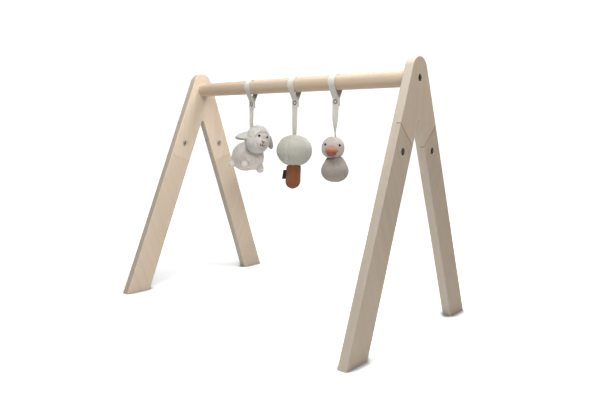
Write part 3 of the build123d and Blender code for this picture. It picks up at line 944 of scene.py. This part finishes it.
def leaf_ear(name, root, tip, broad, spread, cup, sag, peek, outer, inner):
    """A two-layer ear from root to tip. broad is its spread direction at the root, and peek how far
    the lining shows along its lower edge and past its tip."""
    rows, cols = 40, 21
    ahead = tip - root
    length = ahead.length
    axis = ahead.normalized()
    side = (broad - axis * broad.dot(axis)).normalized()
    face = side.cross(axis).normalized()
    outside, inside = [], []
    for i in range(rows + 1):
        t = i / rows
        neck = 0.72 + 0.28 * min(1.0, t / 0.3) ** 0.8
        shape = neck * (1 - max(0.0, (t - 0.25) / 0.75) ** 1.6 * 0.58)
        point = math.sqrt(max(0.0, 1 - ((t - 0.8) / 0.2) ** 2)) if t > 0.8 else 1.0
        half = max(spread / 2 * shape * point, 0.25 * MM)
        line = root + axis * (length * t) + Vector((0, 0, -sag * t * t))
        shown = side * (-peek * (0.35 + 0.65 * t)) + axis * (peek * 1.2 * t * t)
        for j in range(cols):
            s = math.sin((j / (cols - 1) * 2 - 1) * math.pi / 2)
            thick = 2.0 * MM * math.sqrt(max(0.0, 1 - s * s)) * (1 - 0.4 * t) * max(point, 0.2) + 0.3 * MM
            spot = line + side * (s * half) + face * (cup * s * s * (1 - 0.5 * t) * half)
            outside.append(spot + face * thick)
            inside.append(spot - face * (thick + 0.5 * peek) + shown)
    verts = outside + inside
    base = len(outside)
    faces, which = [], []
    for i in range(rows):
        for j in range(cols - 1):
            a = i * cols + j
            faces.append((a, a + 1, a + cols + 1, a + cols))
            which.append(0)
            faces.append((base + a, base + a + cols, base + a + cols + 1, base + a + 1))
            which.append(1)
        for j in (0, cols - 1):
            a = i * cols + j
            faces.append((a, a + cols, base + a + cols, base + a))
            which.append(1)
    for i in (0, rows):
        for j in range(cols - 1):
            a = i * cols + j
            faces.append((a, base + a, base + a + 1, a + 1))
            which.append(1)
    piece = new_piece(name, verts, faces, outer)
    piece.data.materials.append(inner)
    piece.data.polygons.foreach_set("material_index", which)
    mesh = bmesh.new()
    mesh.from_mesh(piece.data)
    bmesh.ops.recalc_face_normals(mesh, faces=mesh.faces)
    mesh.to_mesh(piece.data)
    mesh.free()
    piece.data.shade_smooth()
    refine(piece, 1)
    push(piece, 0.22 * MM * soft_noise(points(piece), 5 * MM))
    return piece


def sew_on(piece, toy, slot_name, *nodes):
    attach(piece, f"{toy}_toy")
    if nodes:
        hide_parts(*nodes)


# one wool in two tones: WOOL darker as painted shade on the head, ears and legs, LIT_BODY_WOOL lighter as
# painted light on the body
WOOL = (0.625, 0.595, 0.555)
LIT_BODY_WOOL = (0.75, 0.70, 0.64)
FACE = (0.63, 0.575, 0.535)
EAR_INNER = (0.38, 0.35, 0.325)
# the soles' cream cloth, made lighter as painted light where they face the lamps
LIT_SOLE = (0.80, 0.72, 0.65)
INK = (0.006, 0.0055, 0.0055)
BROWN = (0.085, 0.05, 0.038)
HEAD_ROLL = -9.0  # degrees
EYE_OUT = 10.2  # mm from the middle of the face panel
EYE_UP = 9.6
NOSE_ASIDE = -0.8


def sheep(ribbon, ring_metal):
    head_at = centre("sheep_head_cover")
    body_at = centre("sheep_body_cover")
    own = Frame("sheep", head_at - body_at)
    head_f, _, head_z = (c[0] for c in own.split(np.array([head_at])))
    wool = plush("sheep_wool", WOOL)
    # a lighter copy of the wool for the body: painted light
    lit_body_wool = plush("sheep_body_wool", LIT_BODY_WOOL)
    face_cloth = velour("sheep_face_cloth", FACE)
    inner_cloth = velour("sheep_ear_lining", EAR_INNER)
    lit_sole_cloth = velour("sheep_sole_cloth", LIT_SOLE)
    black = thread("black_thread", INK, 0.0, 0.9)
    brown = thread("brown_thread", BROWN)

    def along_body(f, l, z):
        return own.at(f * MM, l * MM, z * MM)

    tilt = own.turn @ Matrix.Rotation(math.radians(-4), 3, "Y")
    body = skin_round("sheep_body", [
        (along_body(-18, 0, 319.8), (0.0482, 0.0325, 0.0352), tilt),
        (along_body(-32, 0, 315.5), (0.0312, 0.0325, 0.0330), own.turn),
        (along_body(6, 0, 318), (0.0245, 0.0275, 0.0310), own.turn),
    ], 3 * MM, lit_body_wool, 8)

    def middle_seam(co):
        return np.abs(own.split(co)[1])

    stuff(body, middle_seam, 0.045, 1.8 * MM)
    refine(body, 2)
    press_seam(body, middle_seam, lambda co: co[:, 2] + own.split(co)[0], 0.7 * MM, 1.0 * MM)
    push(body, 0.38 * MM * soft_noise(points(body), 3.2 * MM))
    sew_on(body, "sheep", "sheep_plush", "sheep_body_cover", "sheep_body_stuffing")

    nod = own.turn @ Matrix.Rotation(math.radians(HEAD_ROLL), 3, "X")
    up = nod @ Vector((0, 0, 1))
    left = nod @ Vector((0, 1, 0))
    ahead = nod @ Vector((1, 0, 0))
    middle = own.at(head_f + 0.3 * MM, -1.2 * MM, head_z - 0.6 * MM)

    def of_head(f, l, u):
        return middle + ahead * (f * MM) + left * (l * MM) + up * (u * MM)

    head = skin_round("sheep_head", [
        (of_head(-2, 1.2, 2.4), (0.0260, 0.0268, 0.0302), nod),
        (of_head(1.5, -0.5, -8), (0.0255, 0.0255, 0.0235), nod),
        (of_head(-7, 0, 0), (0.0225, 0.0270, 0.0265), nod),
    ], 2.6 * MM, wool, 6)

    def head_seam(co):
        return np.abs((co - np.array(middle)) @ np.array(left))

    stuff(head, head_seam, 0.04, 1.5 * MM)
    refine(head, 2)
    looks = (nod @ Matrix.Rotation(math.radians(3), 3, "Z") @ Vector((1, 0, 0))).normalized()
    side = up.cross(looks).normalized()
    panel_at = of_head(0, 1.6, -2.0)
    away = points(head) - np.array(panel_at)
    a, b, c = away @ np.array(side), away @ np.array(up), away @ np.array(looks)
    ring = np.hypot(a / (18.4 * MM), b / (19.0 * MM))
    front = c > 0
    inside = front & (ring < 1.0)
    curl = soft_noise(points(head), 3.0 * MM)
    sunk = np.where(front, -1.1 * MM / (1 + np.exp((ring - 0.98) / 0.022)), 0)
    roll = np.where(front, 0.9 * MM * np.exp(-(((ring - 1.14) / 0.085) ** 2)), 0)
    push(head, sunk + roll + np.where(inside, 0.05, 0.42) * MM * curl)
    sew_on(head, "sheep", "sheep_plush", "sheep_head_cover", "sheep_head_stuffing")

    skin = surface_of(head)

    def face_lift(share):
        return 1.35 * MM * (1 - share**8) - 0.6 * MM * share**10

    outline = oval(18.0 * MM, 18.6 * MM, 120)
    face = patch("sheep_face_panel", skin, panel_at, looks, up, outline, 40, face_lift, face_cloth)
    cheek = points(face) - np.array(panel_at)
    x, y = cheek @ np.array(side), cheek @ np.array(up)
    muzzle = 1.4 * MM * np.exp(-((x / (8.5 * MM)) ** 2) - (((y + 6.5 * MM) / (6.5 * MM)) ** 2))
    push(face, muzzle + 0.10 * MM * soft_noise(points(face), 4 * MM))
    sew_on(face, "sheep", "sheep_face_cloth", "sheep_face")

    front_skin = surface_of(face)

    def before_panel(x, y):
        return panel_at + side * (x * MM) + up * (y * MM)

    eyes = []
    for name, x in (("right", -EYE_OUT), ("left", EYE_OUT)):
        spot = before_panel(x, EYE_UP)
        eyes.append(satin_eye(f"eye_{name}", front_skin, spot, looks, 2.8 * MM, black))
    sew_on(merge("sheep_eyes_stitched", eyes), "sheep", "eye_thread", "sheep_eyes")

    strokes = [
        [(-3.8, -1.2), (-1.8, -3.4), (0, -4.6)],
        [(3.6, -1.6), (1.8, -3.4), (0, -4.6)],
        [(-3.6, -1.2), (0, -1.2), (3.4, -1.6)],
        [(0, -4.6), (-0.3, -7.6), (-0.6, -11.0)],
        [(-0.6, -11.0), (-2.8, -11.8), (-4.8, -10.8), (-6.6, -8.2)],
        [(-0.6, -11.0), (1.8, -12.0), (4.2, -11.2), (6.2, -9.0)],
    ]
    lines = []
    for number, stroke in enumerate(strokes):
        aims = [before_panel(x + NOSE_ASIDE, y) for x, y in curve_through(stroke, 22)]
        path = [on_surface(front_skin, aim, looks, 0.25 * MM) for aim in aims]
        lines.append(tube(f"stroke_{number}", path, 0.72 * MM, brown))
    sew_on(merge("sheep_nose_and_mouth", lines), "sheep", "nose_thread", "sheep_nose_stitch")

    stitches = []
    for k in range(64):
        turn = 2 * math.pi * k / 64
        ends = []
        for share in (0.985, 1.055):
            spot = before_panel(18.2 * share * math.cos(turn), 18.8 * share * math.sin(turn + 0.03))
            ends.append(on_surface(skin, spot, looks, 0.28 * MM))
        stitches.append(tube(f"stitch_{k}", curve_through(ends, 6), 0.2 * MM, face_cloth, 6))
    sew_on(merge("sheep_face_stitches", stitches), "sheep", "sheep_face_cloth")

    ears = (
        ("right", (-4, -18, 6.8), (-4, -49.0, 0.5), (-0.25, 0.1, 1), 17.5, 0.25, 0.5, 4.2),
        ("left", (-4, 21, 14), (0, 40, -14.0), (0.8, 0.55, 0.3), 18, 0.3, 0.0, 1.8),
    )
    for name, root, tip, broad, wide, cup, sag, peek in ears:
        ear = leaf_ear(
            f"sheep_ear_{name}_cloth", of_head(*root), of_head(*tip), nod @ Vector(broad),
            wide * MM, cup, sag * MM, peek * MM, wool, inner_cloth,
        )
        sew_on(ear, "sheep", "sheep_ear_cloth", f"sheep_ear_{name}")

    legs = (
        ("front_left", (9, 14, 304), (13, 17.5, 289.4), 10.0),
        ("front_right", (6, -17, 306), (21, -24, 300), 9.9),
        ("hind_left", (-40, 17, 306), (-44, 23, 294), 9.3),
        ("hind_right", (-37, -19, 308), (-34, -33, 299.5), 9.3),
    )
    for name, hip, foot, radius in legs:
        start, end = along_body(*hip), along_body(*foot)
        axis = (end - start).normalized()
        turn = axis.to_track_quat("Z", "Y").to_matrix()
        sizes = ((0, 1.16), (0.33, 1.06), (0.66, 1.0), (1, 1.0))
        blobs = [(start.lerp(end, t), (radius * k * MM,) * 3, turn) for t, k in sizes]
        leg = skin_round(f"sheep_leg_{name}_cloth", blobs, 2.2 * MM, wool, 6)
        refine(leg, 2)
        reach = (points(leg) - np.array(end)) @ np.array(axis)
        cuff = np.abs(reach - 1.0 * MM)
        lumps = 0.3 * MM * soft_noise(points(leg), 3 * MM)
        push(leg, -0.7 * MM * np.exp(-((cuff / (0.9 * MM)) ** 2)) + lumps)
        # soles: their own cream with painted light
        leg.data.materials.append(lit_sole_cloth)
        spots = np.array([f.center for f in leg.data.polygons])
        sole = (spots - np.array(end)) @ np.array(axis) > 1.0 * MM
        leg.data.polygons.foreach_set("material_index", sole.astype(int))
        sew_on(leg, "sheep", "sheep_plush", f"sheep_leg_{name}")

    hang_ribbon("sheep", body_at.z + half_size("sheep_body_cover").z, -18, 0.8, 0.2, ribbon, ring_metal)


CROWN = (0.60, 0.59, 0.515)
TRUNK = (0.315, 0.11, 0.047)


def tree(ribbon, ring_metal):
    crown_at, crown_half = centre("tree_crown_cover"), half_size("tree_crown_cover")
    trunk_at, trunk_half = centre("tree_trunk_cover"), half_size("tree_trunk_cover")
    own = Frame("tree", centre("tree_label") - trunk_at)
    knit = jersey("crown_jersey", CROWN, crown_at)
    rib = jersey("trunk_jersey", TRUNK, crown_at, 2.2 * MM, 1.3 * MM)
    black = label_satin("label_satin", (0.02, 0.02, 0.02))

    crown = skin_round("tree_crown", [(crown_at, tuple(crown_half), Matrix.Identity(3))], 3 * MM, knit, 3)

    def gores(co):
        away = co - np.array(crown_at)
        turn = np.arctan2(away[:, 0], -away[:, 1]) - math.radians(18.6)
        off = (turn / (math.pi / 2) + 0.5) % 1 - 0.5
        return np.hypot(away[:, 0], away[:, 1]) * np.sin(np.abs(off) * math.pi / 2)

    stuff(crown, gores, 0.05, 2.0 * MM)
    refine(crown, 2)
    fit(crown, "tree_crown_cover")
    middle = np.array(crown_at)
    set_points(crown, (points(crown) - middle) * (0.985, 0.985, 1.055) + middle + (0.6 * MM, 0, 0.8 * MM))
    press_seam(crown, gores, lambda co: co[:, 2] * 1.2, 0.6 * MM, 0.9 * MM)
    away = points(crown) - np.array(crown_at)
    out = np.hypot(away[:, 0], away[:, 1])
    dimple = np.exp(-((out / (7 * MM)) ** 2))
    co = points(crown)
    co[:, 2] -= np.sign(away[:, 2]) * 0.8 * MM * dimple
    set_points(crown, co)
    sew_on(crown, "tree", "crown_knit", "tree_crown_cover", "tree_crown_stuffing")

    radius = trunk_half.x
    low = trunk_at.z - trunk_half.z
    tall = trunk_half.z * 2
    arc = np.linspace(0.2, math.pi / 2, 14)
    profile = [(radius * math.sin(a), low + radius * (1 - math.cos(a))) for a in arc]
    profile += [(radius * 0.97, low + tall * 0.8), (radius * 0.93, low + tall)]
    trunk = turned_form("tree_trunk", profile, trunk_at, 2.6 * MM, rib, 3)

    def sides(co):
        return np.abs(own.split(co)[1])

    stuff(trunk, sides, 0.04, 1.3 * MM)
    refine(trunk, 2)
    fit(trunk, "tree_trunk_cover")
    press_seam(trunk, sides, lambda co: co[:, 2], 0.6 * MM, 0.8 * MM, 4.5 * MM)
    lean = np.array((-math.cos(math.radians(39)), -math.sin(math.radians(39)), 0)) * 2.4 * MM
    co = points(trunk)
    set_points(trunk, co + np.outer(1 - (co[:, 2] - low) / tall, lean))
    sew_on(trunk, "tree", "trunk_knit", "tree_trunk_cover", "tree_trunk_stuffing")

    tab_at, tab_half = centre("tree_label"), half_size("tree_label")
    high = tab_half.z
    out_from = radius - 1.6 * MM
    fold = [(0, 0.35), (2.5, 0.5), (5.5, 0.75), (7.6, 0.6)]
    shape = curve_through([*fold, (8.2, 0), *((a, -b) for a, b in fold[::-1])], 60)
    verts, faces, across, lengthwise = [], [], [], []
    rows = 30
    for i in range(rows + 1):
        t = i / rows * 2 - 1
        for a, b in shape:
            slope = 0.14 * t * high
            out = out_from + a * MM - slope + 0.4 * MM
            aside = b * MM + 0.4 * MM * math.sin(t * 2.2)
            verts.append(own.at(out, aside, tab_at.z + t * high))
            across.append(a * MM)
            lengthwise.append(t * high)
    n = len(shape)
    for i in range(rows):
        for k in range(n - 1):
            faces.append((i * n + k, i * n + k + 1, (i + 1) * n + k + 1, (i + 1) * n + k))
    label = new_piece("tree_label_folded", verts, faces, black)
    mark_weave(label, across, lengthwise)
    thick = label.modifiers.new("thick", "SOLIDIFY")
    thick.thickness = 0.35 * MM
    apply_modifiers(label)
    sew_on(label, "tree", "label_woven", "tree_label")

    hang_ribbon("tree", crown_at.z + crown_half.z, -10, 0.92, 0.12, ribbon, ring_metal)


DUCK_HEAD = (0.56, 0.52, 0.475)
DUCK_BODY = (0.39, 0.342, 0.306)
BEAK_UPPER = (0.50, 0.235, 0.15)
BEAK_LOWER = (0.36, 0.115, 0.07)


def duck(ribbon, ring_metal):
    head_at = centre("duck_head_cover")
    head_half = half_size("duck_head_cover")
    body_at, body_half = centre("duck_body_cover"), half_size("duck_body_cover")
    own = Frame("duck", centre("duck_eyes") - Vector((centre("duck_snap_ring").x, 0, 0)))
    cream = velour("duck_head_velour", DUCK_HEAD)
    grey = velour("duck_body_velour", DUCK_BODY)
    orange = velour("beak_upper_cloth", BEAK_UPPER)
    rust = velour("beak_lower_cloth", BEAK_LOWER)
    black = bpy.data.materials["black_thread"]

    def middle_seam(co):
        return np.abs(own.split(co)[1])

    low = body_at.z - body_half.z
    wide = body_half.x
    tall = body_half.z * 2
    shape = [
        (0.10, 0.0), (0.42, 0.048), (0.70, 0.13), (0.88, 0.24), (0.97, 0.335), (1.0, 0.44),
        (0.985, 0.53), (0.91, 0.63), (0.76, 0.78), (0.65, 0.88), (0.585, 0.95), (0.56, 1.0),
    ]
    profile = [(r * wide, low + z * tall) for r, z in curve_through(shape, 40)]
    body = turned_form("duck_body", profile, body_at, 2.4 * MM, grey, 3)
    stuff(body, middle_seam, 0.045, 1.5 * MM)
    refine(body, 2)
    fit(body, "duck_body_cover")
    set_points(body, points(body) + np.array(own.left) * 1.2 * MM)
    press_seam(body, middle_seam, lambda co: co[:, 2] * 1.3, 0.45 * MM, 0.9 * MM)
    sew_on(body, "duck", "duck_body_cloth", "duck_body_cover", "duck_body_stuffing")

    nod = own.turn @ Matrix.Rotation(math.radians(-2), 3, "X")
    middle = own.at(2.5 * MM, -3.2 * MM, head_at.z + 1.2 * MM)

    def of_head(f, l, u):
        return middle + nod @ Vector((f * MM, l * MM, u * MM))

    head = skin_round("duck_head", [
        (of_head(0, 0, 0.5), (0.0222, 0.0224, 0.0226), nod),
        (of_head(1.5, 0, -5.5), (0.0208, 0.0222, 0.0178), nod),
    ], 2.4 * MM, cream, 5)
    stuff(head, middle_seam, 0.035, 1.2 * MM)
    refine(head, 2)
    fit(head, "duck_head_cover")
    set_points(head, (points(head) - np.array(head_at)) * 0.985 + np.array(middle))
    press_seam(head, middle_seam, lambda co: co[:, 2] * 1.1, 0.3 * MM, 0.8 * MM)
    sew_on(head, "duck", "duck_head_cloth", "duck_head_cover", "duck_head_stuffing")

    skin = surface_of(head)
    eyes = []
    for name, turn in (("right", -38), ("left", 43)):
        aim = (nod @ Matrix.Rotation(math.radians(turn), 3, "Z") @ Vector((1, 0, 0))).normalized()
        eyes.append(satin_eye(f"duck_eye_{name}", skin, of_head(0, 0, 5.5), aim, 2.7 * MM, black))
    sew_on(merge("duck_eyes_stitched", eyes), "duck", "eye_thread", "duck_eyes")

    def lip(name, spot, radii, material):
        piece = skin_round(name, [(of_head(*spot), radii, nod)], 1.2 * MM, material, 3)
        refine(piece, 2)
        return piece

    upper = lip("duck_beak_upper_cloth", (20.0, 0.2, -3.8), (0.0126, 0.0142, 0.0068), orange)
    lower = lip("duck_beak_lower_cloth", (20.4, 0.0, -11.4), (0.0112, 0.0104, 0.0068), rust)
    co = points(upper)
    f, l, u = ((co - np.array(middle)) @ np.array(nod @ Vector(v)) for v in ((1, 0, 0), (0, 1, 0), (0, 0, 1)))
    co += np.outer(-0.12 * np.maximum(0, f - 24 * MM) - 10.0 * l * l, np.array(nod @ Vector((0, 0, 1))))
    set_points(upper, co)
    for piece in (upper, lower):
        push(piece, 0.1 * MM * soft_noise(points(piece), 3 * MM))
    sew_on(upper, "duck", "beak_cloth", "duck_beak_upper")
    sew_on(lower, "duck", "beak_cloth", "duck_beak_lower")

    hang_ribbon("duck", head_at.z + head_half.z, -50, 0.95, 0.3, ribbon, ring_metal)


add_camera()
add_floor()
add_surround()
add_lights()
finish_wood()
finish_hardware()
ribbon = ribbon_weave("ribbon_twill", RIBBON)
ring_metal = metal("snap_ring_metal", (0.30, 0.285, 0.26), 0.3)
sheep(ribbon, ring_metal)
tree(ribbon, ring_metal)
duck(ribbon, ring_metal)
